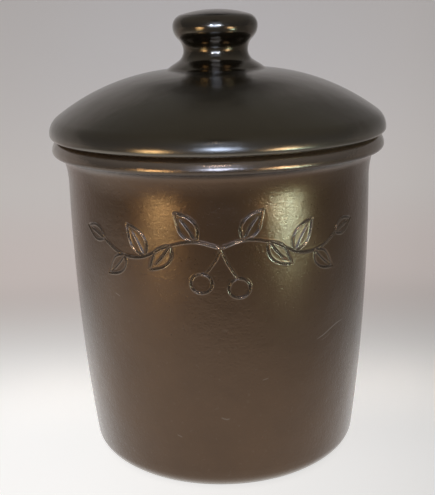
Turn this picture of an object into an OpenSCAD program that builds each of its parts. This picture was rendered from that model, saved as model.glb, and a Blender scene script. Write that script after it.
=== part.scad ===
// Rum pot: a lidded stoneware crock for steeping fruit in rum.
// Three fired pieces: the jar, a domed lid that lifts off it, and a knob luted to the lid.
// Every piece is turned about Z. The pot stands on Z = 0, and all sizes are in millimetres.

/* [Jar] */
// Height of the jar, from the table to the top of its rim
jar_h = 195; // [160:1:260]
// Outer radius of the jar at its widest, on the wall
belly_r = 90.7; // [80:0.1:105]
// Height of that widest place
belly_z = 150; // [120:1:170]
// Radius of the long curve that draws the wall in towards the foot
side_arc_r = 1260; // [800:10:2400]
// Radius of the rounded edge between the wall and the foot
base_edge_r = 10; // [5:0.5:16]
// Thickness of the wall
jar_wall = 7; // [5:0.5:10]
// Height of the floor inside, above the table
floor_z = 10; // [7:0.5:14]
// Radius of the hollow corner between the floor and the wall inside
floor_corner_r = 16; // [6:1:28]
// Width of the ring that the jar stands on
foot_w = 9; // [6:0.5:16]
// Depth of the hollow within that ring
foot_recess = 2.5; // [1.5:0.5:4]
// Radius of the ring's inner edge
foot_edge_r = 1.5; // [0.5:0.25:1.5]

/* [Rim] */
// How far the rolled rim stands out from the wall at its widest
rim_out = 8.3; // [7:0.1:14]
// Radius of the rim's roll above its widest place
rim_upper_r = 6.9; // [4:0.1:8.5]
// Radius of the rim's roll below its widest place
rim_lower_r = 2.6; // [1.5:0.1:8]
// Radius of the hollow between the roll and the wall
cove_r = 9; // [5:0.1:12]
// Radius of the mouth's inner edge
mouth_edge_r = 2.5; // [1:0.25:3]

/* [Lid] */
// How far the lid's lip stands out beyond the rim
lid_over = 1; // [0.2:0.1:4]
// Radius of the lip below its widest place
lip_lower_r = 2.6; // [1.5:0.1:6]
// Radius of the lip above its widest place
lip_upper_r = 11.5; // [6:0.1:18]
// Height of the dome's crown above the rim
dome_h = 37.3; // [32:0.1:44]
// Radius of the level crown that the dome's curve runs up to, under the knob
crown_r = 18.5; // [10:0.5:24]
// Thickness of the dome
lid_wall = 7; // [5:0.5:9]
// Gap all round between the lid's flange and the mouth
lid_clearance = 1.6; // [1:0.1:3]
// Depth of the flange below the rim
flange_h = 12; // [8:0.5:20]
// Thickness of the flange
flange_t = 6; // [4:0.5:9]
// Radius of the hollow corner outside the flange, under the seat
flange_corner_r = 1.5; // [0.5:0.25:2.5]
// Radius of the hollow corner between the flange and the dome inside
dome_corner_r = 8; // [3:0.5:14]
// Radius of the hole that lets the air out of the hollow knob
vent_r = 3; // [2:0.5:6]

/* [Knob] */
// Radius of the knob's foot
knob_foot_r = 29; // [26:0.5:34]
// Height of the foot's upright edge
knob_foot_edge = 0.6; // [0.4:0.1:3]
// Slope of the straight flare above the foot, in degrees from level
flare_slope = 32; // [20:1:45]
// Radius of the waist
waist_r = 19.1; // [17:0.1:22]
// Radius of the hollow curve between the flare and the waist
waist_lower_r = 7.2; // [5:0.1:10]
// Radius of the hollow curve between the waist and the head
waist_upper_r = 10.7; // [9.5:0.1:16]
// Radius of the head
head_r = 25; // [22:0.1:30]
// Radius of the head's curve below its widest place
head_lower_r = 9.5; // [5:0.1:11]
// Radius of the head's curve above its widest place
head_upper_r = 7.6; // [4:0.1:10]
// Radius of the curve of the head's top
head_top_r = 110; // [60:1:200]
// Thickness of clay over the knob's hollow, at the top
knob_top_wall = 7; // [5:0.5:10]
// Thickness of clay round the knob's hollow, at the waist
knob_wall = 8; // [5:0.5:10]

/* [Finish] */
// How far a straight step of a curve may lie from the true curve
curve_tol = 0.02; // [0.01:0.01:0.1]

/* [Hidden] */
$fn = 128;
glaze_colour = "#4a4138";
lid_colour = "#3d3a31";

// Points along an arc about centre c, from angle a0 to angle a1, both included
function arc(c, r, a0, a1) =
    let (n = max(2, ceil(abs(a1 - a0) / (2 * acos(1 - curve_tol / r)))))
    [for (i = [0 : n]) c + r * [cos(a0 + (a1 - a0) * i / n), sin(a0 + (a1 - a0) * i / n)]];

// Angle of the line from one point to another
function bearing(from, to) = atan2(to.y - from.y, to.x - from.x);

// How far out, at height z, a circle of radius r about c reaches
function reach(c, r, z) = c.x + sqrt(r * r - (z - c.y) * (z - c.y));

// How high up, at distance x from the axis, a circle of radius r about c reaches
function rise(c, r, x) = c.y + sqrt(r * r - (x - c.x) * (x - c.x));

// Where two circles cross, on the outer side, away from the axis
function crossing(c1, r1, c2, r2) =
    let (d = norm(c2 - c1), u = (c2 - c1) / d,
         along = (d * d + r1 * r1 - r2 * r2) / (2 * d),
         off = sqrt(r1 * r1 - along * along))
    c1 + along * u + off * [u.y, -u.x];

// Jar: the wall's curve, and the edge and corner that touch it from inside
wall_c = [belly_r - side_arc_r, belly_z];
edge_c = [reach(wall_c, side_arc_r - base_edge_r, base_edge_r), base_edge_r];
inner_arc_r = side_arc_r - jar_wall;
floor_corner_z = floor_z + floor_corner_r;
corner_c = [reach(wall_c, inner_arc_r - floor_corner_r, floor_corner_z), floor_corner_z];
foot_in_r = edge_c.x - foot_w;

// Rim: a roll above and below its widest place, and the hollow that runs it into the wall
rim_r = belly_r + rim_out;
rim_z = jar_h - rim_upper_r;
rim_upper_c = [rim_r - rim_upper_r, rim_z];
rim_lower_c = [rim_r - rim_lower_r, rim_z];
cove_c = crossing(wall_c, side_arc_r + cove_r, rim_lower_c, rim_lower_r + cove_r);
mouth_r = reach(wall_c, inner_arc_r, jar_h);
mouth_edge_c = [reach(wall_c, inner_arc_r + mouth_edge_r, jar_h - mouth_edge_r), jar_h - mouth_edge_r];

// Lid: it sits on the rim, and its flange hangs in the mouth
lid_r = rim_r + lid_over;
lip_z = jar_h + lip_lower_r;
lip_lower_c = [lid_r - lip_lower_r, lip_z];
lip_upper_c = [lid_r - lip_upper_r, lip_z];
dome_run = lip_upper_c.x - crown_r;
dome_climb = jar_h + dome_h - lip_z;
dome_arc_r = (pow(dome_run, 2) + pow(dome_climb, 2) - pow(lip_upper_r, 2)) / (2 * (dome_climb - lip_upper_r));
dome_c = [crown_r, jar_h + dome_h - dome_arc_r];
dome_in_r = dome_arc_r - lid_wall;
flange_r = mouth_r - lid_clearance;
flange_in_r = flange_r - flange_t;
flange_tip_c = [flange_r - flange_t / 2, jar_h - flange_h + flange_t / 2];
dome_corner_c = [flange_in_r - dome_corner_r,
                 rise(dome_c, dome_in_r - dome_corner_r, flange_in_r - dome_corner_r)];
knob_seat_z = rise(dome_c, dome_arc_r, knob_foot_r);

// Knob: foot, flare, waist and head, each curve touching the next
knob_foot_top = [knob_foot_r, knob_seat_z + knob_foot_edge];
flare_top_r = waist_r + waist_lower_r * (1 - sin(flare_slope));
flare_h = (knob_foot_r - flare_top_r) * tan(flare_slope);
waist_z = knob_foot_top.y + flare_h + waist_lower_r * cos(flare_slope);
waist_lower_c = [waist_r + waist_lower_r, waist_z];
waist_upper_c = [waist_r + waist_upper_r, waist_z];
head_lower_x = head_r - head_lower_r;
head_z = waist_z + sqrt(pow(waist_upper_r + head_lower_r, 2) - pow(waist_upper_c.x - head_lower_x, 2));
head_lower_c = [head_lower_x, head_z];
head_upper_c = [head_r - head_upper_r, head_z];
head_top_c = [0, head_z - sqrt(pow(head_top_r - head_upper_r, 2) - pow(head_upper_c.x, 2))];
knob_top_z = head_top_c.y + head_top_r;
hollow_r = waist_r - knob_wall;
hollow_c = [0, knob_top_z - knob_top_wall - hollow_r];

module jar() {
    color(glaze_colour)
    rotate_extrude()
    polygon(concat(
        [[0, foot_recess], [foot_in_r, foot_recess]],
        arc([foot_in_r + foot_edge_r, foot_edge_r], foot_edge_r, 180, 270),
        arc(edge_c, base_edge_r, -90, bearing(wall_c, edge_c)),
        arc(wall_c, side_arc_r, bearing(wall_c, edge_c), bearing(wall_c, cove_c)),
        arc(cove_c, cove_r, 180 + bearing(wall_c, cove_c), bearing(cove_c, rim_lower_c)),
        arc(rim_lower_c, rim_lower_r, bearing(rim_lower_c, cove_c), 0),
        arc(rim_upper_c, rim_upper_r, 0, 90),
        arc(mouth_edge_c, mouth_edge_r, 90, 180 + bearing(wall_c, mouth_edge_c)),
        arc(wall_c, inner_arc_r, bearing(wall_c, mouth_edge_c), bearing(wall_c, corner_c)),
        arc(corner_c, floor_corner_r, bearing(wall_c, corner_c), -90),
        [[0, floor_z]]
    ));
}

module lid() {
    color(lid_colour)
    rotate_extrude()
    polygon(concat(
        [[vent_r, dome_c.y + dome_in_r]],
        arc(dome_c, dome_in_r, 90, bearing(dome_c, dome_corner_c)),
        arc(dome_corner_c, dome_corner_r, bearing(dome_c, dome_corner_c), 0),
        arc(flange_tip_c, flange_t / 2, 180, 360),
        arc([flange_r + flange_corner_r, jar_h - flange_corner_r], flange_corner_r, 180, 90),
        arc(lip_lower_c, lip_lower_r, -90, 0),
        arc(lip_upper_c, lip_upper_r, 0, bearing(dome_c, lip_upper_c)),
        arc(dome_c, dome_arc_r, bearing(dome_c, lip_upper_c), bearing(dome_c, [knob_foot_r, knob_seat_z])),
        [[vent_r, knob_seat_z]]
    ));
}

module knob() {
    color(lid_colour)
    rotate_extrude()
    polygon(concat(
        [[hollow_r, knob_seat_z], [knob_foot_r, knob_seat_z], knob_foot_top],
        arc(waist_lower_c, waist_lower_r, 270 - flare_slope, 180),
        arc(waist_upper_c, waist_upper_r, 180, bearing(waist_upper_c, head_lower_c)),
        arc(head_lower_c, head_lower_r, bearing(waist_upper_c, head_lower_c) - 180, 0),
        arc(head_upper_c, head_upper_r, 0, bearing(head_top_c, head_upper_c)),
        arc(head_top_c, head_top_r, bearing(head_top_c, head_upper_c), 90),
        arc(hollow_c, hollow_r, 90, 0)
    ));
}

jar();
lid();
knob();
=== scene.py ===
import math
import bmesh
import bpy
from mathutils import Matrix, Vector
from mathutils.kdtree import KDTree


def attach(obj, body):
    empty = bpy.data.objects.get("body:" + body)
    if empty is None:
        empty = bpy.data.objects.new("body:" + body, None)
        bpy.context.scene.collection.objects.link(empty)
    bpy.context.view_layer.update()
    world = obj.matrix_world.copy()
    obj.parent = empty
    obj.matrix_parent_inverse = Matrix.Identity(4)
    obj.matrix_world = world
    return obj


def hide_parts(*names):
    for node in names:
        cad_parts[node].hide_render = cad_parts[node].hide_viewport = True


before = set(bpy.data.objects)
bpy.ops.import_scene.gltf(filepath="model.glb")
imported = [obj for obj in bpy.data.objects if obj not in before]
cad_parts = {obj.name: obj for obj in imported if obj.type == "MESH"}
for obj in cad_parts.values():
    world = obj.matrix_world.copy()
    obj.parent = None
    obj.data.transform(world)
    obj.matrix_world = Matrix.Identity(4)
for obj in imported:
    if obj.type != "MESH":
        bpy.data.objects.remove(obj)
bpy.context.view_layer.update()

print("rum pot: frame loaded with", sorted(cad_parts))

# turning: every piece is one outline (distance from the axis, height) spun about Z

turning = {
    "arcDegrees": 7, "arcSpan": 0.004,  # the longest step along a curve, as a turn and as a length
    "shortest": 1e-6, "samePoint": 2e-5,  # steps this short are left out, points this near are merged
    "smoothDegrees": 38,
}


def bearing(start, end):
    return math.degrees(math.atan2(end[1] - start[1], end[0] - start[0]))


def reachOut(centre, radius, height):  # how far out a circle goes at a height
    return centre[0] + math.sqrt(radius ** 2 - (height - centre[1]) ** 2)


def riseTo(centre, radius, out):  # how high a circle goes at a distance from the axis
    return centre[1] + math.sqrt(radius ** 2 - (out - centre[0]) ** 2)


def lowerCrossing(first, firstRadius, second, secondRadius):  # where two circles cross, on the lower side
    apart = math.hypot(second[0] - first[0], second[1] - first[1])
    ux, uy = (second[0] - first[0]) / apart, (second[1] - first[1]) / apart
    along = (apart ** 2 + firstRadius ** 2 - secondRadius ** 2) / (2 * apart)
    off = math.sqrt(firstRadius ** 2 - along ** 2)
    return (first[0] + along * ux + off * uy, first[1] + along * uy - off * ux)


def arc(centre, radius, startDeg, endDeg):
    sweep = math.radians(endDeg - startDeg)
    byTurn = math.ceil(abs(sweep) / math.radians(turning["arcDegrees"]))
    byLength = math.ceil(abs(sweep) * radius / turning["arcSpan"])
    steps = max(2, byTurn, byLength)
    angles = [math.radians(startDeg) + sweep * i / steps for i in range(steps + 1)]
    return [(centre[0] + radius * math.cos(a), centre[1] + radius * math.sin(a)) for a in angles]


def pickPiece(piece):  # selects it alone, because an operator acts on all that is selected
    bpy.ops.object.select_all(action="DESELECT")
    bpy.context.view_layer.objects.active = piece
    piece.select_set(True)


def turnPiece(name, outline, turns):
    bpy.ops.object.select_all(action="DESELECT")
    bpy.ops.mesh.primitive_plane_add(size=0.01, location=(0, 0, 0))
    piece = bpy.context.object
    piece.name = name
    piece.data.name = name
    bpy.ops.object.mode_set(mode="EDIT")
    bpy.ops.mesh.select_mode(type="VERT")
    bpy.ops.mesh.select_all(action="SELECT")
    bpy.ops.mesh.merge(type="CENTER")  # one point is left, and the outline is drawn from it
    bpy.ops.transform.translate(value=(outline[0][0], 0, outline[0][1]))
    for here, there in zip(outline, outline[1:]):
        step = (there[0] - here[0], 0, there[1] - here[1])
        if math.hypot(step[0], step[2]) > turning["shortest"]:
            bpy.ops.mesh.extrude_region_move(TRANSFORM_OT_translate={"value": step})
    bpy.ops.mesh.select_all(action="SELECT")
    bpy.ops.mesh.spin(steps=turns, angle=math.tau, center=(0, 0, 0), axis=(0, 0, 1))
    bpy.ops.mesh.select_all(action="SELECT")
    bpy.ops.mesh.remove_doubles(threshold=turning["samePoint"])
    bpy.ops.mesh.normals_make_consistent(inside=False)
    bpy.ops.object.mode_set(mode="OBJECT")
    print("turned", name, len(piece.data.polygons), "faces")
    return piece


def smoothPiece(piece):
    pickPiece(piece)
    bpy.ops.object.shade_smooth_by_angle(angle=math.radians(turning["smoothDegrees"]))


def everywhere(out, height, normal):
    return True


def coatFaces(piece, material, belongs):  # gives the faces at a place their finish
    pickPiece(piece)
    piece.data.materials.append(material)
    piece.active_material_index = len(piece.data.materials) - 1
    bpy.ops.object.mode_set(mode="EDIT")
    bpy.ops.mesh.select_mode(type="FACE")
    bpy.ops.mesh.select_all(action="DESELECT")
    net = bmesh.from_edit_mesh(piece.data)
    for face in net.faces:
        middle = face.calc_center_median()
        face.select_set(belongs(math.hypot(middle.x, middle.y), middle.z, face.normal))
    bmesh.update_edit_mesh(piece.data)
    bpy.ops.object.material_slot_assign()
    bpy.ops.object.mode_set(mode="OBJECT")


def markRound(piece, name, places):  # places are (out, height, how far round, share) on the outline
    marks = piece.data.attributes
    mark = marks.get(name) or marks.new(name, "FLOAT", "POINT")
    for vertex in piece.data.vertices:
        out = math.hypot(vertex.co.x, vertex.co.y)
        for placeOut, placeHeight, size, share in places:
            away = (out - placeOut) ** 2 + (vertex.co.z - placeHeight) ** 2
            value = share * math.exp(-away / size ** 2)
            mark.data[vertex.index].value = max(mark.data[vertex.index].value, value)


# finishes


def newMaterial(name):
    material = bpy.data.materials.new(name)
    material.use_nodes = True
    tree = material.node_tree
    return material, tree, tree.nodes["Principled BSDF"]


def addCoords(tree):
    return tree.nodes.new("ShaderNodeTexCoord").outputs["Object"]


def addMark(tree, name):  # a value that the mesh carries at each point
    mark = tree.nodes.new("ShaderNodeAttribute")
    mark.attribute_name = name
    return mark.outputs["Fac"]


def addNoise(tree, coords, scale, detail, rough=0.5):
    noise = tree.nodes.new("ShaderNodeTexNoise")
    noise.inputs["Scale"].default_value = scale
    noise.inputs["Detail"].default_value = detail
    noise.inputs["Roughness"].default_value = rough
    tree.links.new(coords, noise.inputs["Vector"])
    return noise.outputs["Fac"]


def addRange(tree, value, span, toLow=0, toHigh=1, ease=False):
    spread = tree.nodes.new("ShaderNodeMapRange")
    if ease:
        spread.interpolation_type = "SMOOTHSTEP"
    spread.inputs["From Min"].default_value, spread.inputs["From Max"].default_value = span
    spread.inputs["To Min"].default_value = toLow
    spread.inputs["To Max"].default_value = toHigh
    tree.links.new(value, spread.inputs["Value"])
    return spread.outputs["Result"]


def addMath(tree, operation, *values):  # values are numbers or sockets
    working = tree.nodes.new("ShaderNodeMath")
    working.operation = operation
    for socket, value in zip(working.inputs, values):
        if isinstance(value, (int, float)):
            socket.default_value = value
        else:
            tree.links.new(value, socket)
    return working.outputs[0]


def addMix(tree, factor, first, second):  # first and second are colours or sockets
    mix = tree.nodes.new("ShaderNodeMix")
    mix.data_type = "RGBA"
    tree.links.new(factor, mix.inputs["Factor"])
    for socket, colour in ((mix.inputs["A"], first), (mix.inputs["B"], second)):
        if isinstance(colour, tuple):
            socket.default_value = (*colour, 1)
        else:
            tree.links.new(colour, socket)
    return mix.outputs["Result"]


def addBump(tree, height, distance, below=None):
    bump = tree.nodes.new("ShaderNodeBump")
    bump.inputs["Distance"].default_value = distance
    bump.inputs["Strength"].default_value = 1.0
    tree.links.new(height, bump.inputs["Height"])
    if below is not None:
        tree.links.new(below, bump.inputs["Normal"])
    return bump.outputs["Normal"]  # the caller may link the node's Strength


def bronzeGlaze(name, look):
    material, tree, shader = newMaterial(name)
    coords = addCoords(tree)
    cloud = addNoise(tree, coords, *look["cloudNoise"])
    grain = addNoise(tree, coords, *look["grainNoise"])
    fleck = addNoise(tree, coords, *look["fleckNoise"])
    crestAndLitSide = addMark(tree, "crestAndLitSide")  # 1 where the glaze runs thin over an edge, and along a line's lower side as a painted highlight
    paintedShade = addMark(tree, "paintedShade")  # 1 where the glaze colour is painted dark as shade: along a line's upper side and under the rim's bead
    scuff = addMark(tree, "scuff")  # 1 along a rubbed mark

    colour = addMix(tree, addRange(tree, cloud, look["cloudSpan"]), look["dark"], look["light"])
    fleckShare = addRange(tree, fleck, look["fleckSpan"], 0, look["fleckShare"])
    colour = addMix(tree, fleckShare, colour, look["fleck"])
    crestShare = addRange(tree, crestAndLitSide, (0, 1), 0, look["crestShare"])
    # lighter where the glaze runs thin over an edge; on the lines this is a painted highlight on their
    # lower side
    colour = addMix(tree, crestShare, colour, look["crestAndLitSide"])
    # painted shade: the dark colour is laid where shade falls
    colour = addMix(tree, paintedShade, colour, look["paintedShade"])
    colour = addMix(tree, scuff, colour, look["scuff"])
    tree.links.new(colour, shader.inputs["Base Color"])

    shader.inputs["Metallic"].default_value = look["metallic"]
    shader.inputs["IOR"].default_value = look["ior"]
    shader.inputs["Coat Weight"].default_value = look["coat"]
    shader.inputs["Coat Roughness"].default_value = look["coatRough"]
    rough = addRange(tree, grain, look["grainSpan"], look["roughLow"], look["roughHigh"])
    smoother = addRange(tree, crestAndLitSide, (0, 1), 1, look["crestRough"])  # thin glaze on an edge is smoother
    tree.links.new(addMath(tree, "MULTIPLY", rough, smoother), shader.inputs["Roughness"])

    swell = addNoise(tree, coords, *look["swellNoise"])
    wheel = tree.nodes.new("ShaderNodeMapping")  # squeezes the pattern into lines round the wheel
    wheel.inputs["Scale"].default_value = look["lineStretch"]
    tree.links.new(coords, wheel.inputs["Vector"])
    lines = addNoise(tree, wheel.outputs["Vector"], *look["lineNoise"])
    pebble = addNoise(tree, coords, *look["pebbleNoise"])
    normal = addBump(tree, swell, look["swellDepth"])
    normal = addBump(tree, lines, look["lineDepth"], normal)
    normal = addBump(tree, pebble, look["pebbleDepth"], normal)
    normal = addBump(tree, grain, look["grainDepth"], normal)
    grainShare = addRange(tree, crestAndLitSide, (0, 1), 1, look["crestGrain"])
    tree.links.new(grainShare, normal.node.inputs["Strength"])
    tree.links.new(normal, shader.inputs["Normal"])
    tree.links.new(normal, shader.inputs["Coat Normal"])
    return material


jarGlazeLook = {
    "dark": (0.081, 0.040, 0.0145), "light": (0.100, 0.051, 0.020),
    # the edge colour below serves thin glaze on edges and the painted highlight on the lines' lower side
    "fleck": (0.20, 0.16, 0.12), "crestAndLitSide": (0.26, 0.21, 0.165),
    # below: the dark colour painted as shade, then the colour of rubbed marks
    "paintedShade": (0.022, 0.015, 0.010), "scuff": (0.34, 0.30, 0.26),
    "fleckShare": 0.10, "crestShare": 0.72, "crestGrain": 0.3, "crestRough": 0.68,
    "metallic": 0.9, "ior": 1.5, "roughLow": 0.27, "roughHigh": 0.33, "coat": 0.8, "coatRough": 0.19,
    # each noise: scale, detail and, where it isn't plain, roughness
    "cloudNoise": (16, 4, 0.6), "grainNoise": (1000, 3, 0.6), "fleckNoise": (330, 2),
    "swellNoise": (38, 2), "pebbleNoise": (520, 1), "lineNoise": (1, 2), "lineStretch": (12, 12, 420),
    "cloudSpan": (0.34, 0.66), "fleckSpan": (0.66, 0.74), "grainSpan": (0.3, 0.7),  # where a noise counts
    "grainDepth": 0.00012, "swellDepth": 0.0005, "lineDepth": 0.00003, "pebbleDepth": 0.00008,
}
lidGlazeLook = dict(
    jarGlazeLook, dark=(0.046, 0.034, 0.015), light=(0.058, 0.044, 0.021),
    crestAndLitSide=(0.16, 0.14, 0.115), crestShare=0.65, crestRough=0.95,
    metallic=0.85, roughLow=0.23, roughHigh=0.27, coat=0.6, coatRough=0.17,
    grainDepth=0.00003, pebbleDepth=0.00002,
)
knobGlazeLook = dict(  # rubbed by hands
    lidGlazeLook, dark=(0.050, 0.036, 0.020), light=(0.062, 0.046, 0.026), crestShare=0.15,
    metallic=0.97, roughLow=0.19, roughHigh=0.22, coat=0.65, coatRough=0.13,
)
jarGlaze = bronzeGlaze("jarBronzeGlaze", jarGlazeLook)
lidGlaze = bronzeGlaze("lidBronzeGlaze", lidGlazeLook)
knobGlaze = bronzeGlaze("knobBronzeGlaze", knobGlazeLook)

insideLook = {
    "dark": (0.030, 0.014, 0.008), "light": (0.062, 0.028, 0.014), "rough": 0.16, "ior": 1.55,
    "cloudNoise": (40, 4, 0.6), "cloudSpan": (0.3, 0.7), "swellNoise": (60, 2), "swellDepth": 0.0006,
}


def liningGlaze(name, look):  # the clear brown glaze inside
    material, tree, shader = newMaterial(name)
    coords = addCoords(tree)
    cloud = addRange(tree, addNoise(tree, coords, *look["cloudNoise"]), look["cloudSpan"])
    tree.links.new(addMix(tree, cloud, look["dark"], look["light"]), shader.inputs["Base Color"])
    shader.inputs["Roughness"].default_value = look["rough"]
    shader.inputs["IOR"].default_value = look["ior"]
    swell = addNoise(tree, coords, *look["swellNoise"])
    tree.links.new(addBump(tree, swell, look["swellDepth"]), shader.inputs["Normal"])
    return material


clayLook = {
    "dark": (0.30, 0.235, 0.17), "light": (0.42, 0.345, 0.26), "speck": (0.10, 0.07, 0.05), "rough": 0.85,
    "grainNoise": (900, 4, 0.65), "grainSpan": (0.35, 0.65), "grainDepth": 0.00012,
    "speckNoise": (420, 2), "speckSpan": (0.68, 0.72), "speckShare": 0.8,
}


def bareStoneware(name, look):
    material, tree, shader = newMaterial(name)
    coords = addCoords(tree)
    grain = addNoise(tree, coords, *look["grainNoise"])
    colour = addMix(tree, addRange(tree, grain, look["grainSpan"]), look["dark"], look["light"])
    speck = addNoise(tree, coords, *look["speckNoise"])
    speckShare = addRange(tree, speck, look["speckSpan"], 0, look["speckShare"])
    tree.links.new(addMix(tree, speckShare, colour, look["speck"]), shader.inputs["Base Color"])
    shader.inputs["Roughness"].default_value = look["rough"]
    tree.links.new(addBump(tree, grain, look["grainDepth"]), shader.inputs["Normal"])
    return material


lining = liningGlaze("brownLiningGlaze", insideLook)
clay = bareStoneware("bareStoneware", clayLook)
print("finishes ready")

# jar

jar = {  # sizes in metres
    "height": 0.195, "bellyRadius": 0.0907, "bellyHeight": 0.150, "sideCurve": 1.260, "baseEdge": 0.010,
    "wall": 0.007, "floorHeight": 0.010, "floorCorner": 0.016,
    "footWidth": 0.009, "footRecess": 0.0025, "footEdge": 0.0015,
    "rimOut": 0.0083, "rimUpper": 0.0069, "rimLower": 0.0026, "cove": 0.0065, "mouthEdge": 0.0025,
    "flare": 0.050, "flareHeight": 0.1685,  # the wall leans out a little before the cove
    "turns": 160,
    "rimShade": (0.0010, 0.0024, 0.0022, 0.9),  # painted shade under the bead: in from the rim, below it, size, share
    "rimCrest": (0.0006, 0.0028, 0.0042),  # thin glaze: in from the rim, above it, size
    "baseCrest": (0.7, 0.3, 0.004),  # thin glaze: out and up as shares of the base edge, size
    "liningFloor": 0.001, "liningWall": 0.003,  # how far past the inner faces the lining is looked for
    "bareFoot": 0.0028, "bareFacing": -0.75, "bareRim": 0.0001,  # bare clay under the foot and on the rim
}
wallCentre = (jar["bellyRadius"] - jar["sideCurve"], jar["bellyHeight"])
innerCurve = jar["sideCurve"] - jar["wall"]
edgeCentre = (reachOut(wallCentre, jar["sideCurve"] - jar["baseEdge"], jar["baseEdge"]), jar["baseEdge"])
edgeBearing = bearing(wallCentre, edgeCentre)
cornerHeight = jar["floorHeight"] + jar["floorCorner"]
cornerCentre = (reachOut(wallCentre, innerCurve - jar["floorCorner"], cornerHeight), cornerHeight)
cornerBearing = bearing(wallCentre, cornerCentre)
footInside = edgeCentre[0] - jar["footWidth"]
rimRadius = jar["bellyRadius"] + jar["rimOut"]
rimHeight = jar["height"] - jar["rimUpper"]
rimUpperCentre = (rimRadius - jar["rimUpper"], rimHeight)
rimLowerCentre = (rimRadius - jar["rimLower"], rimHeight)
flareFoot = (reachOut(wallCentre, jar["sideCurve"], jar["flareHeight"]), jar["flareHeight"])
flareBearing = bearing(wallCentre, flareFoot)
flareOut = jar["flare"] * math.cos(math.radians(flareBearing))
flareUp = jar["flare"] * math.sin(math.radians(flareBearing))
flareCentre = (flareFoot[0] + flareOut, flareFoot[1] + flareUp)
coveReach = jar["rimLower"] + jar["cove"]
coveCentre = lowerCrossing(rimLowerCentre, coveReach, flareCentre, jar["flare"] - jar["cove"])
coveBearing = bearing(flareCentre, coveCentre)
mouthRadius = reachOut(wallCentre, innerCurve, jar["height"])
mouthHeight = jar["height"] - jar["mouthEdge"]
mouthCentre = (reachOut(wallCentre, innerCurve + jar["mouthEdge"], mouthHeight), mouthHeight)
mouthBearing = bearing(wallCentre, mouthCentre)

jarOutline = [(0, jar["footRecess"]), (footInside, jar["footRecess"])]
jarOutline += arc((footInside + jar["footEdge"], jar["footEdge"]), jar["footEdge"], 180, 270)
jarOutline += arc(edgeCentre, jar["baseEdge"], -90, edgeBearing)
jarOutline += arc(wallCentre, jar["sideCurve"], edgeBearing, flareBearing)
jarOutline += arc(flareCentre, jar["flare"], 180 + flareBearing, coveBearing)
jarOutline += arc(coveCentre, jar["cove"], coveBearing, bearing(coveCentre, rimLowerCentre))
jarOutline += arc(rimLowerCentre, jar["rimLower"], bearing(rimLowerCentre, coveCentre), 0)
jarOutline += arc(rimUpperCentre, jar["rimUpper"], 0, 90)
jarOutline += arc(mouthCentre, jar["mouthEdge"], 90, 180 + mouthBearing)
jarOutline += arc(wallCentre, innerCurve, mouthBearing, cornerBearing)
jarOutline += arc(cornerCentre, jar["floorCorner"], cornerBearing, -90)
jarOutline += [(0, jar["floorHeight"])]
jarPiece = turnPiece("turnedJar", jarOutline, jar["turns"])

# incised sprig on the front: its lines are (along the wall, up) in millimetres from its middle

perMetre = 1000  # the sprig's millimetres in a metre
sprig = {
    "middle": 0.1435, "lineWidth": 0.0012, "lineDepth": 0.0006, "burrHeight": 0.00012,
    "lineStep": 0.12, "pressAtEnd": 0.35, "taper": 0.004,  # the tool starts and leaves lightly
    "grooveSpan": 0.72, "groovePower": 2.4, "burrPlace": 1.45, "burrSpan": 0.42,  # in half line widths
    "lineShadeShare": 0.95, "lineHighlightShare": 1.0, "sideSlope": 0.8,  # painted shade on a line's upper side, painted highlight on its lower side
    "levels": 4, "finerWithin": 0.75,  # rounds of finer mesh, and how near a line, in lengths of a face
    "lowest": 0.03, "skin": 0.0025, "slack": 0.00001,  # what counts as the outside of the wall
    "rightBranch": [(0, 3), (13, 7), (28, 4.5), (43, -2.5), (57, -2.5), (69, 4)],
    "leftBranch": [(0, 3), (-14, 6.5), (-29, 3.5), (-44, -3.5), (-58, -3), (-70, 3.5)],
    "leaves": [  # base along, base up, way it points, length, width, bend
        (12, 7, 60, 19, 9.4, -22), (26, 5, -50, 19, 9.4, 24), (41, -1.8, 62, 20, 9.6, -26),
        (54, -3, -46, 18, 8.6, 24), (69, 4, 20, 16, 8, -10),
        (-13, 6.6, 122, 19, 9.4, 22), (-27, 4.2, 232, 19, 9.4, -22), (-42, -2.6, 118, 20, 9.6, 26),
        (-55, -3.4, 228, 18, 8.6, -24), (-70, 3.5, 160, 16, 8, 12),
    ],
    "leafShape": {
        "steps": 24, "bendFrom": 0.3, "roundness": 0.85, "base": 1.08, "thinning": 0.2, "vein": 0.78,
    },
    "stalks": [[(0, 3), (-2.5, -3), (-8.5, -11)], [(0, 3), (3.5, -5), (8.5, -13.5)]],
    "cherries": [(-10.5, -16, 5.6), (9.5, -19, 5.6)],  # along, up, radius
    "cherryShape": {"steps": 60, "start": 100, "sweep": 372, "opening": 0.03, "squat": 0.95},
    "scuffs": [  # rubbed marks on the wall: width, strength, line
        (0.55, 0.55, [(57, -56), (62, -54.6), (67.5, -52.4), (73, -50.6), (78.5, -49.9)]),
        (0.45, 0.16, [(60, -57.6), (64, -56.6), (68, -54.8)]),
        (0.7, 0.30, [(-2, -95.5), (1, -96.6), (3, -96.2)]), (0.6, 0.28, [(-29, -108), (-26, -109.2)]),
        (0.5, 0.30, [(-64, -27), (-60.5, -28.4)]), (0.5, 0.25, [(22, -74), (25.5, -73.2)]),
    ],
    "scuffAtEnd": 0.2, "scuffRise": 4,  # a mark's strength at its ends, and how fast it grows from there
}


def between(before, start, end, after, t):  # a smooth way from start to end
    square, cube = 2 * before - 5 * start + 4 * end - after, 3 * start - before - 3 * end + after
    return 0.5 * (2 * start + (end - before) * t + square * t * t + cube * t ** 3)


def flowLine(points):  # a smooth line through given points
    ends = [points[0]] + list(points) + [points[-1]]
    line = []
    for four in zip(ends, ends[1:], ends[2:], ends[3:]):
        count = max(2, math.ceil(math.dist(four[1], four[2]) / sprig["lineStep"]))
        for i in range(count):
            line.append(tuple(between(*values, i / count) for values in zip(*four)))
    return line + [tuple(points[-1])]


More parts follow.
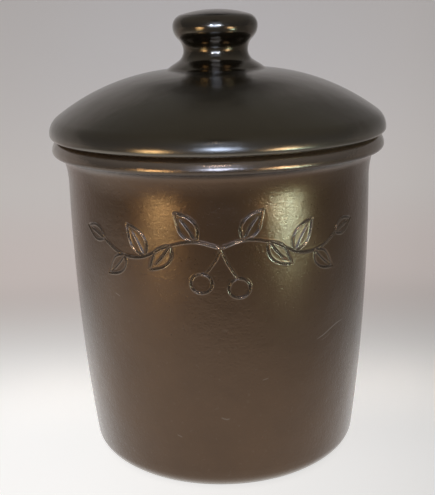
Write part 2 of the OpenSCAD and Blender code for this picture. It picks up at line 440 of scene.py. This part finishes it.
def leafLines(along, up, pointing, length, width, bend):
    leaf = sprig["leafShape"]
    spine, here, pace = [], (along, up), length / leaf["steps"]
    for i in range(leaf["steps"] + 1):
        t = i / leaf["steps"]
        heading = math.radians(pointing + bend * (t - leaf["bendFrom"]))
        spine.append((here, heading, t))
        here = (here[0] + pace * math.cos(heading), here[1] + pace * math.sin(heading))
    lines = []
    for side in (-1, 1):
        edge = []
        for place, heading, t in spine:
            off = side * width / 2 * math.sin(math.pi * t ** leaf["roundness"])
            off *= leaf["base"] - leaf["thinning"] * t
            edge.append((place[0] - off * math.sin(heading), place[1] + off * math.cos(heading)))
        lines.append(flowLine(edge))
    return lines + [flowLine([place for place, heading, t in spine if t < leaf["vein"]])]


def cherryLine(along, up, radius):
    cherry = sprig["cherryShape"]
    ring = []
    for i in range(cherry["steps"] + 1):
        turn = math.radians(cherry["start"] + cherry["sweep"] * i / cherry["steps"])
        wide = radius * (1 + cherry["opening"] * i / cherry["steps"])
        ring.append((along + wide * math.cos(turn), up + radius * cherry["squat"] * math.sin(turn)))
    return flowLine(ring)


sprigLines = [flowLine(sprig["rightBranch"]), flowLine(sprig["leftBranch"])]
sprigLines += [flowLine(points) for points in sprig["stalks"]]
sprigLines += [line for leaf in sprig["leaves"] for line in leafLines(*leaf)]
sprigLines += [cherryLine(*cherry) for cherry in sprig["cherries"]]
scuffLines = [(width, strength, flowLine(points)) for width, strength, points in sprig["scuffs"]]


def wallSpot(point):  # (along, up) in metres of a point of the wall, from the sprig's middle
    return (math.atan2(point.x, -point.y) * jar["bellyRadius"], point.z - sprig["middle"])


def onWall(point):
    outer = reachOut(wallCentre, jar["sideCurve"], point.z)
    level = sprig["lowest"] < point.z < jar["flareHeight"] + sprig["slack"]
    return point.y < 0 and level and math.hypot(point.x, point.y) > outer - sprig["skin"]


def carveSprig(piece, lines, scuffs):
    lineTree = KDTree(sum(len(line) for line in lines))
    presses = []  # how deep the tool is at each point
    for line in lines:
        run = [0.0]
        for a, b in zip(line, line[1:]):
            run.append(run[-1] + math.dist(a, b) / perMetre)
        for i, (along, up) in enumerate(line):
            lineTree.insert((along / perMetre, up / perMetre, 0), len(presses))
            presses.append(min(1, sprig["pressAtEnd"] + min(run[i], run[-1] - run[i]) / sprig["taper"]))
    lineTree.balance()
    rubTree = KDTree(sum(len(line) for width, strength, line in scuffs))
    rubs = []  # half width and strength at each point
    for width, strength, line in scuffs:
        for i, (along, up) in enumerate(line):
            rubTree.insert((along / perMetre, up / perMetre, 0), len(rubs))
            toEnd = min(i, len(line) - 1 - i)
            fade = min(1, sprig["scuffAtEnd"] + sprig["scuffRise"] * toEnd / len(line))
            rubs.append((width / (2 * perMetre), strength * fade))
    rubTree.balance()

    pickPiece(piece)
    bpy.ops.object.mode_set(mode="EDIT")
    bpy.ops.mesh.select_mode(type="FACE")
    for finer in range(sprig["levels"]):  # the wall gets finer only beside the lines
        bpy.ops.mesh.select_all(action="DESELECT")
        net = bmesh.from_edit_mesh(piece.data)
        for face in net.faces:
            middle = face.calc_center_median()
            if onWall(middle):
                span = max(edge.calc_length() for edge in face.edges)
                spot = (*wallSpot(middle), 0)
                near = min(lineTree.find(spot)[2], rubTree.find(spot)[2])
                face.select_set(near < sprig["lineWidth"] + sprig["finerWithin"] * span)
        bmesh.update_edit_mesh(piece.data)
        bpy.ops.mesh.subdivide(number_cuts=1, smoothness=0, ngon=False)
    bpy.ops.object.mode_set(mode="OBJECT")

    paintedShade = piece.data.attributes.new("paintedShade", "FLOAT", "POINT")
    crestAndLitSide = piece.data.attributes.new("crestAndLitSide", "FLOAT", "POINT")
    scuff = piece.data.attributes.new("scuff", "FLOAT", "POINT")
    half = sprig["lineWidth"] / 2
    for vertex in piece.data.vertices:
        point = vertex.co
        if not onWall(point):
            continue
        radius = reachOut(wallCentre, jar["sideCurve"], point.z)
        where, index, away = lineTree.find((*wallSpot(point), 0))
        press = presses[index]
        groove = math.exp(-(away / (sprig["grooveSpan"] * half)) ** sprig["groovePower"])
        burr = math.exp(-((away - sprig["burrPlace"] * half) / (sprig["burrSpan"] * half)) ** 2)
        radius += press * (sprig["burrHeight"] * burr - sprig["lineDepth"] * groove)
        scale = radius / math.hypot(point.x, point.y)
        vertex.co = (point.x * scale, point.y * scale, point.z)
        upward = sprig["sideSlope"] * (wallSpot(point)[1] - where[1]) / half
        above = min(1, max(0, 0.5 + upward))  # 1 on a line's upper side
        # painted shade along a line's upper side, and a painted highlight along its lower side, where
        # light falls
        paintedShade.data[vertex.index].value = press * sprig["lineShadeShare"] * groove * above
        crestAndLitSide.data[vertex.index].value = press * sprig["lineHighlightShare"] * min(1, burr + groove) * (1 - above)
        where, index, away = rubTree.find((*wallSpot(point), 0))
        scuff.data[vertex.index].value = rubs[index][1] * math.exp(-(away / rubs[index][0]) ** 2)
    piece.data.update()
    print("carved", len(lines), "lines,", len(piece.data.polygons), "faces")


def insideJar(out, height, normal):
    aboveFloor = height > jar["floorHeight"] - jar["liningFloor"]
    return aboveFloor and out < reachOut(wallCentre, innerCurve + jar["liningWall"], height)


def bareOnJar(out, height, normal):
    underFoot = height < jar["bareFoot"] and normal.z < jar["bareFacing"]
    return underFoot or height > jar["height"] - jar["bareRim"]


carveSprig(jarPiece, sprigLines, scuffLines)
# painted shade: the glaze colour is darkened under the rim's bead
shadeIn, shadeDown, shadeSize, shadeShare = jar["rimShade"]
markRound(jarPiece, "paintedShade", [(rimRadius - shadeIn, rimHeight - shadeDown, shadeSize, shadeShare)])
rimIn, rimUp, rimSize = jar["rimCrest"]
baseOut, baseUp, baseSize = jar["baseCrest"]
markRound(jarPiece, "crestAndLitSide", [
    (rimRadius - rimIn, rimHeight + rimUp, rimSize, 1),
    (edgeCentre[0] + baseOut * jar["baseEdge"], baseUp * jar["baseEdge"], baseSize, 1),
])
coatFaces(jarPiece, jarGlaze, everywhere)
coatFaces(jarPiece, lining, insideJar)
coatFaces(jarPiece, clay, bareOnJar)
smoothPiece(jarPiece)
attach(jarPiece, "jar")
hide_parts("jar")
print("jar done")

# lid

lid = {
    "lidOver": 0.001, "lipLower": 0.0026, "lipUpper": 0.0115, "domeRise": 0.0373, "crownRadius": 0.0185,
    "wall": 0.007, "domeCorner": 0.008, "ventRadius": 0.003, "turns": 160,
    "clearance": 0.0016, "flangeDepth": 0.012, "flangeThick": 0.006, "flangeCorner": 0.0015,
    "lipCrest": 0.005,  # how far round the lip the glaze is thin
    "liningFlange": 0.001, "liningDome": 0.004,  # how far past the inner faces the lining is looked for
    "bareSeat": 0.0002, "bareFacing": -0.9,  # bare clay on the seat, facing down
}
knob = {  # the lid's crown is cut flat to seat its foot
    "footRadius": 0.029, "footEdge": 0.0006, "flareSlope": 32, "waistRadius": 0.0191,
    "waistLower": 0.0072, "waistUpper": 0.0090,
    "headRadius": 0.025, "headLower": 0.0099, "headUpper": 0.0070, "topCurve": 0.071,
    "topWall": 0.007, "wall": 0.008, "turns": 128,
    "wipe": 0.0018, "wipeUp": 1.2, "wipeSink": 0.0001, "wipeLift": 0.0002,  # slip wiped round the foot
    "wipeSteps": 8,
    "headCrest": 0.004,  # how far round the head the glaze is thin
    "bareSide": 0.0005, "bareTop": 0.001, "bareSeat": 0.0001,  # bare clay in the hollow and on the seat
}
lidRadius = rimRadius + lid["lidOver"]
lipHeight = jar["height"] + lid["lipLower"]
lipLowerCentre = (lidRadius - lid["lipLower"], lipHeight)
lipUpperCentre = (lidRadius - lid["lipUpper"], lipHeight)
domeRun = lipUpperCentre[0] - lid["crownRadius"]
domeClimb = jar["height"] + lid["domeRise"] - lipHeight
domeCurve = (domeRun ** 2 + domeClimb ** 2 - lid["lipUpper"] ** 2) / (2 * (domeClimb - lid["lipUpper"]))
domeCentre = (lid["crownRadius"], jar["height"] + lid["domeRise"] - domeCurve)
domeInner = domeCurve - lid["wall"]
flangeRadius = mouthRadius - lid["clearance"]
flangeInside = flangeRadius - lid["flangeThick"]
flangeRound = lid["flangeThick"] / 2
flangeTip = (flangeRadius - flangeRound, jar["height"] - lid["flangeDepth"] + flangeRound)
flangeCorner = (flangeRadius + lid["flangeCorner"], jar["height"] - lid["flangeCorner"])
domeCornerOut = flangeInside - lid["domeCorner"]
domeCorner = (domeCornerOut, riseTo(domeCentre, domeInner - lid["domeCorner"], domeCornerOut))
domeCornerBearing = bearing(domeCentre, domeCorner)
lipBearing = bearing(domeCentre, lipUpperCentre)
knobSeat = riseTo(domeCentre, domeCurve, knob["footRadius"])
seatBearing = bearing(domeCentre, (knob["footRadius"], knobSeat))

lidOutline = [(lid["ventRadius"], domeCentre[1] + domeInner)]
lidOutline += arc(domeCentre, domeInner, 90, domeCornerBearing)
lidOutline += arc(domeCorner, lid["domeCorner"], domeCornerBearing, 0)
lidOutline += arc(flangeTip, flangeRound, 180, 360)
lidOutline += arc(flangeCorner, lid["flangeCorner"], 180, 90)
lidOutline += arc(lipLowerCentre, lid["lipLower"], -90, 0)
lidOutline += arc(lipUpperCentre, lid["lipUpper"], 0, lipBearing)
lidOutline += arc(domeCentre, domeCurve, lipBearing, seatBearing)
lidOutline += [(lid["ventRadius"], knobSeat), lidOutline[0]]


def insideLid(out, height, normal):
    inner = riseTo(domeCentre, domeCurve - lid["liningDome"], max(out, lid["crownRadius"]))
    return out < flangeRadius + lid["liningFlange"] and height < inner


def bareOnLid(out, height, normal):
    return abs(height - jar["height"]) < lid["bareSeat"] and normal.z < lid["bareFacing"]


lidPiece = turnPiece("turnedLid", lidOutline, lid["turns"])
markRound(lidPiece, "crestAndLitSide", [(lidRadius, lipHeight, lid["lipCrest"], 1)])
coatFaces(lidPiece, lidGlaze, everywhere)
coatFaces(lidPiece, lining, insideLid)
coatFaces(lidPiece, clay, bareOnLid)
smoothPiece(lidPiece)
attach(lidPiece, "lid")
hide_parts("lid")
print("lid done")

# knob

slope = math.radians(knob["flareSlope"])
flareTop = knob["waistRadius"] + knob["waistLower"] * (1 - math.sin(slope))  # how far out the flare ends
waistHeight = knobSeat + knob["footEdge"] + (knob["footRadius"] - flareTop) * math.tan(slope)
waistHeight += knob["waistLower"] * math.cos(slope)
waistLowerCentre = (knob["waistRadius"] + knob["waistLower"], waistHeight)
waistUpperCentre = (knob["waistRadius"] + knob["waistUpper"], waistHeight)
headLowerOut = knob["headRadius"] - knob["headLower"]
headReach = knob["waistUpper"] + knob["headLower"]
headHeight = waistHeight + math.sqrt(headReach ** 2 - (waistUpperCentre[0] - headLowerOut) ** 2)
headLowerCentre = (headLowerOut, headHeight)
headUpperCentre = (knob["headRadius"] - knob["headUpper"], headHeight)
headBearing = bearing(waistUpperCentre, headLowerCentre)
topReach = knob["topCurve"] - knob["headUpper"]
topCentre = (0, headHeight - math.sqrt(topReach ** 2 - headUpperCentre[0] ** 2))
topBearing = bearing(topCentre, headUpperCentre)
knobTop = topCentre[1] + knob["topCurve"]
hollowRadius = knob["waistRadius"] - knob["wall"]
hollowCentre = (0, knobTop - knob["topWall"] - hollowRadius)

wipeFoot = knob["footRadius"] + knob["wipe"]  # slip wiped to a fillet between the foot and the dome
wipeTop = knob["footRadius"] - knob["wipeUp"] * knob["wipe"]
wipeEnds = [
    (wipeFoot, riseTo(domeCentre, domeCurve, wipeFoot) - knob["wipeSink"]),
    (knob["footRadius"], knobSeat + knob["wipeLift"]),
    (wipeTop, knobSeat + knob["footEdge"] + (knob["footRadius"] - wipeTop) * math.tan(slope)),
]
wipeCurve = []
for i in range(knob["wipeSteps"] + 1):
    t = i / knob["wipeSteps"]
    share = ((1 - t) ** 2, 2 * t * (1 - t), t * t)
    wipeCurve.append(tuple(sum(w * end[k] for w, end in zip(share, wipeEnds)) for k in (0, 1)))

knobOutline = arc(hollowCentre, hollowRadius, 90, 0)
knobOutline += [(hollowRadius, knobSeat), (knob["footRadius"], knobSeat)]
knobOutline += wipeCurve
knobOutline += arc(waistLowerCentre, knob["waistLower"], 270 - knob["flareSlope"], 180)
knobOutline += arc(waistUpperCentre, knob["waistUpper"], 180, headBearing)
knobOutline += arc(headLowerCentre, knob["headLower"], headBearing - 180, 0)
knobOutline += arc(headUpperCentre, knob["headUpper"], 0, topBearing)
knobOutline += arc(topCentre, knob["topCurve"], topBearing, 90)


def bareOnKnob(out, height, normal):
    hollowTop = hollowCentre[1] + hollowRadius
    inHollow = out < hollowRadius + knob["bareSide"] and height < hollowTop + knob["bareTop"]
    return inHollow or out < knob["footRadius"] and height < knobSeat + knob["bareSeat"]


knobPiece = turnPiece("turnedKnob", knobOutline, knob["turns"])
markRound(knobPiece, "crestAndLitSide", [(knob["headRadius"], headHeight, knob["headCrest"], 1)])
coatFaces(knobPiece, knobGlaze, everywhere)
coatFaces(knobPiece, clay, bareOnKnob)
smoothPiece(knobPiece)
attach(knobPiece, "lid")
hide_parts("knob")
print("knob done")

# floor and backdrop

stageLook = {
    "half": 12, "back": 1.5, "wall": 1.8, "sweep": 0.7, "sweepSteps": 24, "rough": 0.9,
    "colour": (0.64, 0.63, 0.615), "shade": (0.60, 0.59, 0.575), "paperNoise": (3, 2),
    "glow": [  # how far back, and how bright it looks by itself there
        (-0.5, (0.03, 0.03, 0.03)), (0.0, (0.13, 0.12, 0.11)), (0.35, (0.36, 0.305, 0.285)),
        (0.8, (0.36, 0.33, 0.315)), (1.5, (0.27, 0.25, 0.245)),
    ],
    "pool": {  # lit floor
        "middle": (-0.1, -0.10), "across": 0.45, "front": 0.88, "span": (0.07, 0.40),
        "colour": (0.81, 0.80, 0.79),
    },
    "fade": {"span": (-0.08, 0.42), "left": 0.45, "slant": -0.35, "front": -0.1},  # dimmer to the right
    "dusk": {"span": (0.85, 1.5), "left": 0.1, "beside": (0.14, 0.62)},  # dim up the backdrop's middle
}


def selectEdges(piece, belongs):  # the edges whose ends both lie at a place
    bpy.ops.mesh.select_all(action="DESELECT")
    net = bmesh.from_edit_mesh(piece.data)
    for edge in net.edges:
        edge.select_set(all(belongs(vertex.co) for vertex in edge.verts))
    bmesh.update_edit_mesh(piece.data)


def paleSweep(name, look):
    material, tree, shader = newMaterial(name)
    pool, fade, dusk = look["pool"], look["fade"], look["dusk"]
    coords = addCoords(tree)
    place = tree.nodes.new("ShaderNodeSeparateXYZ")
    tree.links.new(coords, place.inputs[0])
    across, back, up = (place.outputs[axis] for axis in ("X", "Y", "Z"))

    nearest, furthest = look["glow"][0][0], look["glow"][-1][0]
    ramp = tree.nodes.new("ShaderNodeValToRGB")
    ramp.color_ramp.interpolation = "EASE"
    while len(ramp.color_ramp.elements) < len(look["glow"]):
        ramp.color_ramp.elements.new(0.5)
    for element, (away, level) in zip(ramp.color_ramp.elements, look["glow"]):
        element.position = (away - nearest) / (furthest - nearest)
        element.color = (*level, 1)
    tree.links.new(addRange(tree, back, (nearest, furthest)), ramp.inputs[0])

    sideways = addMath(tree, "SUBTRACT", across, pool["middle"][0])
    sideways = addMath(tree, "MULTIPLY", sideways, pool["across"])
    lengthways = addMath(tree, "SUBTRACT", back, pool["middle"][1])
    forwards = addMath(tree, "MULTIPLY", lengthways, -pool["front"])  # the pool reaches further in front
    lengthways = addMath(tree, "MAXIMUM", lengthways, forwards)
    sidewaysSquare = addMath(tree, "MULTIPLY", sideways, sideways)
    lengthwaysSquare = addMath(tree, "MULTIPLY", lengthways, lengthways)
    fromMiddle = addMath(tree, "SQRT", addMath(tree, "ADD", sidewaysSquare, lengthwaysSquare))
    lit = addRange(tree, fromMiddle, pool["span"], 1, 0, ease=True)

    behind = addMath(tree, "MAXIMUM", back, fade["front"])
    slanted = addMath(tree, "MULTIPLY_ADD", behind, fade["slant"], across)
    dimmed = addRange(tree, slanted, fade["span"], 1, fade["left"], ease=True)
    dusky = addRange(tree, up, dusk["span"], 1, dusk["left"], ease=True)
    beside = addRange(tree, addMath(tree, "ABSOLUTE", across), dusk["beside"], ease=True)
    dusky = addMath(tree, "MAXIMUM", dusky, beside)
    dimmed = addMath(tree, "MULTIPLY", dimmed, dusky)

    paper = addMix(tree, addNoise(tree, coords, *look["paperNoise"]), look["shade"], look["colour"])
    tree.links.new(addMix(tree, dusky, (0, 0, 0), paper), shader.inputs["Base Color"])
    shader.inputs["Roughness"].default_value = look["rough"]
    rays = tree.nodes.new("ShaderNodeLightPath")  # the glow is seen and reflected, and lights nothing
    seen = addMath(tree, "MAXIMUM", rays.outputs["Is Camera Ray"], rays.outputs["Is Glossy Ray"])
    seen = addMath(tree, "MAXIMUM", seen, rays.outputs["Is Transmission Ray"])
    glow = tree.nodes.new("ShaderNodeEmission")
    tree.links.new(addMix(tree, lit, ramp.outputs["Color"], pool["colour"]), glow.inputs["Color"])
    tree.links.new(addMath(tree, "MULTIPLY", seen, dimmed), glow.inputs["Strength"])
    both = tree.nodes.new("ShaderNodeAddShader")
    tree.links.new(shader.outputs[0], both.inputs[0])
    tree.links.new(glow.outputs[0], both.inputs[1])
    tree.links.new(both.outputs[0], tree.nodes["Material Output"].inputs["Surface"])
    return material


bpy.ops.object.select_all(action="DESELECT")
bpy.ops.mesh.primitive_plane_add(size=1, location=(0, 0, 0))
floor = bpy.context.object
floor.name = "paleFloor"
for vertex in floor.data.vertices:
    reach = stageLook["back"] if vertex.co.y > 0 else -stageLook["half"]
    vertex.co = (math.copysign(stageLook["half"], vertex.co.x), reach, 0)
bpy.ops.object.mode_set(mode="EDIT")
bpy.ops.mesh.select_mode(type="EDGE")
selectEdges(floor, lambda spot: spot.y > 0)
bpy.ops.mesh.extrude_region_move(TRANSFORM_OT_translate={"value": (0, 0, stageLook["wall"])})
selectEdges(floor, lambda spot: spot.y > 0 and spot.z < stageLook["wall"] / 2)
bpy.ops.mesh.bevel(offset=stageLook["sweep"], segments=stageLook["sweepSteps"], affect="EDGES")
bpy.ops.object.mode_set(mode="OBJECT")
smoothPiece(floor)
floor.data.materials.append(paleSweep("paleSweep", stageLook))
print("floor ready")

# light

coolLight = (0.50, 0.65, 1.0)
lamps = {  # spread is in degrees
    "leftWarmLamp": {
        "place": (-0.42, -0.475, 0.17), "aim": (0, 0, 0.225), "size": (0.26, 0.07),
        "power": 0.018, "spread": 24, "colour": (1.0, 0.66, 0.33),
    },
    "leftWarmPanel": {
        "place": (-0.42, -0.475, 0.06), "aim": (-0.04, -0.08, 0.155), "size": (0.26, 0.036),
        "power": 0.011, "spread": 24, "colour": (1.0, 0.82, 0.42),
    },
    "rightWarmLamp": {
        "place": (0.43, -0.47, 0.15), "aim": (0, 0, 0.215), "size": (0.26, 0.05),
        "power": 0.019, "spread": 24, "colour": (1.0, 0.70, 0.42),
    },
    "rightCoolPanel": {
        "place": (0.42, -0.40, 0.072), "aim": (0.04, -0.08, 0.16), "size": (0.15, 0.022),
        "power": 0.0155, "spread": 24, "colour": (0.66, 1.0, 0.87),
    },
    "frontSoftbox": {
        "place": (0.0, -0.65, 0.305), "aim": (0, 0, 0.232), "size": (0.58, 0.15),
        "power": 0.138, "spread": 28, "colour": coolLight,
    },
    "leftKnobLamp": {
        "place": (-0.10, -0.60, 0.38), "aim": (0, 0, 0.254), "size": (0.16, 0.03),
        "power": 0.011, "spread": 5, "colour": coolLight,
    },
    "rightKnobLamp": {
        "place": (0.10, -0.60, 0.38), "aim": (0, 0, 0.254), "size": (0.16, 0.03),
        "power": 0.011, "spread": 5, "colour": coolLight,
    },
    "sprigLamp": {
        "place": (0.0, -0.55, 0.56), "aim": (0, -0.09, 0.138), "size": (0.34, 0.02),
        "power": 0.017, "spread": 8, "colour": (1.0, 0.86, 0.74),
    },
    "upperPanel": {
        "place": (0.0, -0.52, 0.53), "aim": (0, -0.03, 0.235), "size": (0.40, 0.26),
        "power": 0.021, "spread": 36, "colour": coolLight,
    },
}
for name, lamp in lamps.items():
    bpy.ops.object.light_add(type="AREA", location=lamp["place"])
    light = bpy.context.object
    light.name = name
    light.data.shape = "RECTANGLE"
    light.data.size, light.data.size_y = lamp["size"]
    light.data.energy = lamp["power"]
    light.data.color = lamp["colour"]
    light.data.spread = math.radians(lamp["spread"])  # a grid keeps the light off the floor in front
    light.visible_camera = False
    beamWay = Vector(lamp["aim"]) - Vector(lamp["place"])
    light.rotation_euler = beamWay.to_track_quat("-Z", "Y").to_euler()

roomLook = {
    "low": (0.17, 0.17, 0.175), "high": (0.32, 0.315, 0.305), "span": (0.2, 0.9),  # a paler ceiling
    "beam": {"beside": (0.06, 0.17), "beyond": (0.80, 0.93), "left": 0.25},  # dim along its middle
    "strength": 1.0,
}
world = bpy.data.worlds.new("softRoom")
bpy.context.scene.world = world
world.use_nodes = True
roomTree = world.node_tree
room = roomTree.nodes["Background"]
way = roomTree.nodes.new("ShaderNodeSeparateXYZ")
roomTree.links.new(roomTree.nodes.new("ShaderNodeTexCoord").outputs["Generated"], way.inputs[0])
ceiling = addRange(roomTree, way.outputs["Z"], roomLook["span"], ease=True)
roomColour = addMix(roomTree, ceiling, roomLook["low"], roomLook["high"])
beam = roomLook["beam"]
sideWay = addMath(roomTree, "ABSOLUTE", way.outputs["X"])
besideBeam = addRange(roomTree, sideWay, beam["beside"], beam["left"], 1, ease=True)
beyondBeam = addRange(roomTree, way.outputs["Z"], beam["beyond"], beam["left"], 1, ease=True)
beamShade = addMath(roomTree, "MAXIMUM", besideBeam, beyondBeam)
roomTree.links.new(addMix(roomTree, beamShade, (0, 0, 0), roomColour), room.inputs["Color"])
room.inputs["Strength"].default_value = roomLook["strength"]
print("light ready")

# camera, as the photograph was taken

cameraLook = {
    "place": (0, -0.5143, 0.2655), "pitch": -15.626, "turn": 0.214, "roll": -1.494,
    "lens": 61.88, "sensor": 36, "nearest": 0.01,
}
bpy.ops.object.camera_add(location=cameraLook["place"])
camera = bpy.context.object
camera.name = "photoCamera"
camera.data.sensor_width = cameraLook["sensor"]
camera.data.lens = cameraLook["lens"]
camera.data.clip_start = cameraLook["nearest"]
turned = Matrix.Rotation(math.radians(cameraLook["turn"]), 4, "Z")
pitched = Matrix.Rotation(math.radians(90 + cameraLook["pitch"]), 4, "X")
rolled = Matrix.Rotation(math.radians(cameraLook["roll"]), 4, "Z")
camera.rotation_euler = (turned @ pitched @ rolled).to_euler()
scene = bpy.context.scene
scene.camera = camera
scene.view_settings.view_transform = "Standard"
